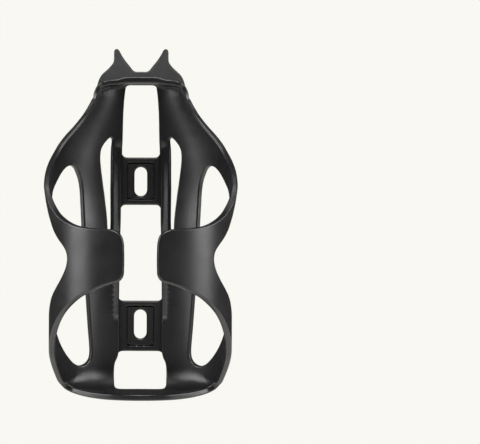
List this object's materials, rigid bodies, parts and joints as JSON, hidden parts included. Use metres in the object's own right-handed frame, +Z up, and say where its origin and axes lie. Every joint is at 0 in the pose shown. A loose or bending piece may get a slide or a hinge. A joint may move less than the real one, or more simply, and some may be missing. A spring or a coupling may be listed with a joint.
{
  "type": "water bottle cage",
  "caption": "Side-flexing bicycle bottle cage in moulded nylon: slotted spine plates, flared wings, wrap-round spring arms, a base shelf and a horned crown.",
  "frame": {"origin": "middle of the two-slot bolt pattern, on the mounting plane that lies against the bicycle's frame tube", "axes": "+Z up the bottle, +Y into the bicycle's frame tube, the bottle on the -Y side, +X to the right as seen from the bottle's side"},
  "size_m": [0.0826, 0.0809, 0.1541],
  "materials": {
    "moulded_nylon": "satin black, fine moulded grain"
  },
  "bodies": {
    "spine": {"crown_roof": "moulded_nylon", "horn_plate": "moulded_nylon", "left_wing": "moulded_nylon", "right_wing": "moulded_nylon", "left_strut": "moulded_nylon", "right_strut": "moulded_nylon", "left_rail": "moulded_nylon", "right_rail": "moulded_nylon", "upper_bolt_plate": "moulded_nylon", "lower_bolt_plate": "moulded_nylon", "left_cheek": "moulded_nylon", "right_cheek": "moulded_nylon", "base_shelf": "moulded_nylon"},
    "left_arm": {"left_upper_arm": "moulded_nylon", "left_grip_pad": "moulded_nylon", "left_lower_arm": "moulded_nylon"},
    "right_arm": {"right_upper_arm": "moulded_nylon", "right_grip_pad": "moulded_nylon", "right_lower_arm": "moulded_nylon"}
  },
  "joints": [
    {"name": "left_arm_flex", "type": "hinge", "parent": "spine", "child": "left_arm", "pos_m": [-0.03365, -0.02415, 0], "axis": [0, 0, -1], "range_deg": [-2, 7], "stiffness_Nm_per_rad": 8},
    {"name": "right_arm_flex", "type": "hinge", "parent": "spine", "child": "right_arm", "pos_m": [0.03365, -0.02415, 0], "axis": [0, 0, 1], "range_deg": [-2, 7], "stiffness_Nm_per_rad": 8}
  ]
}
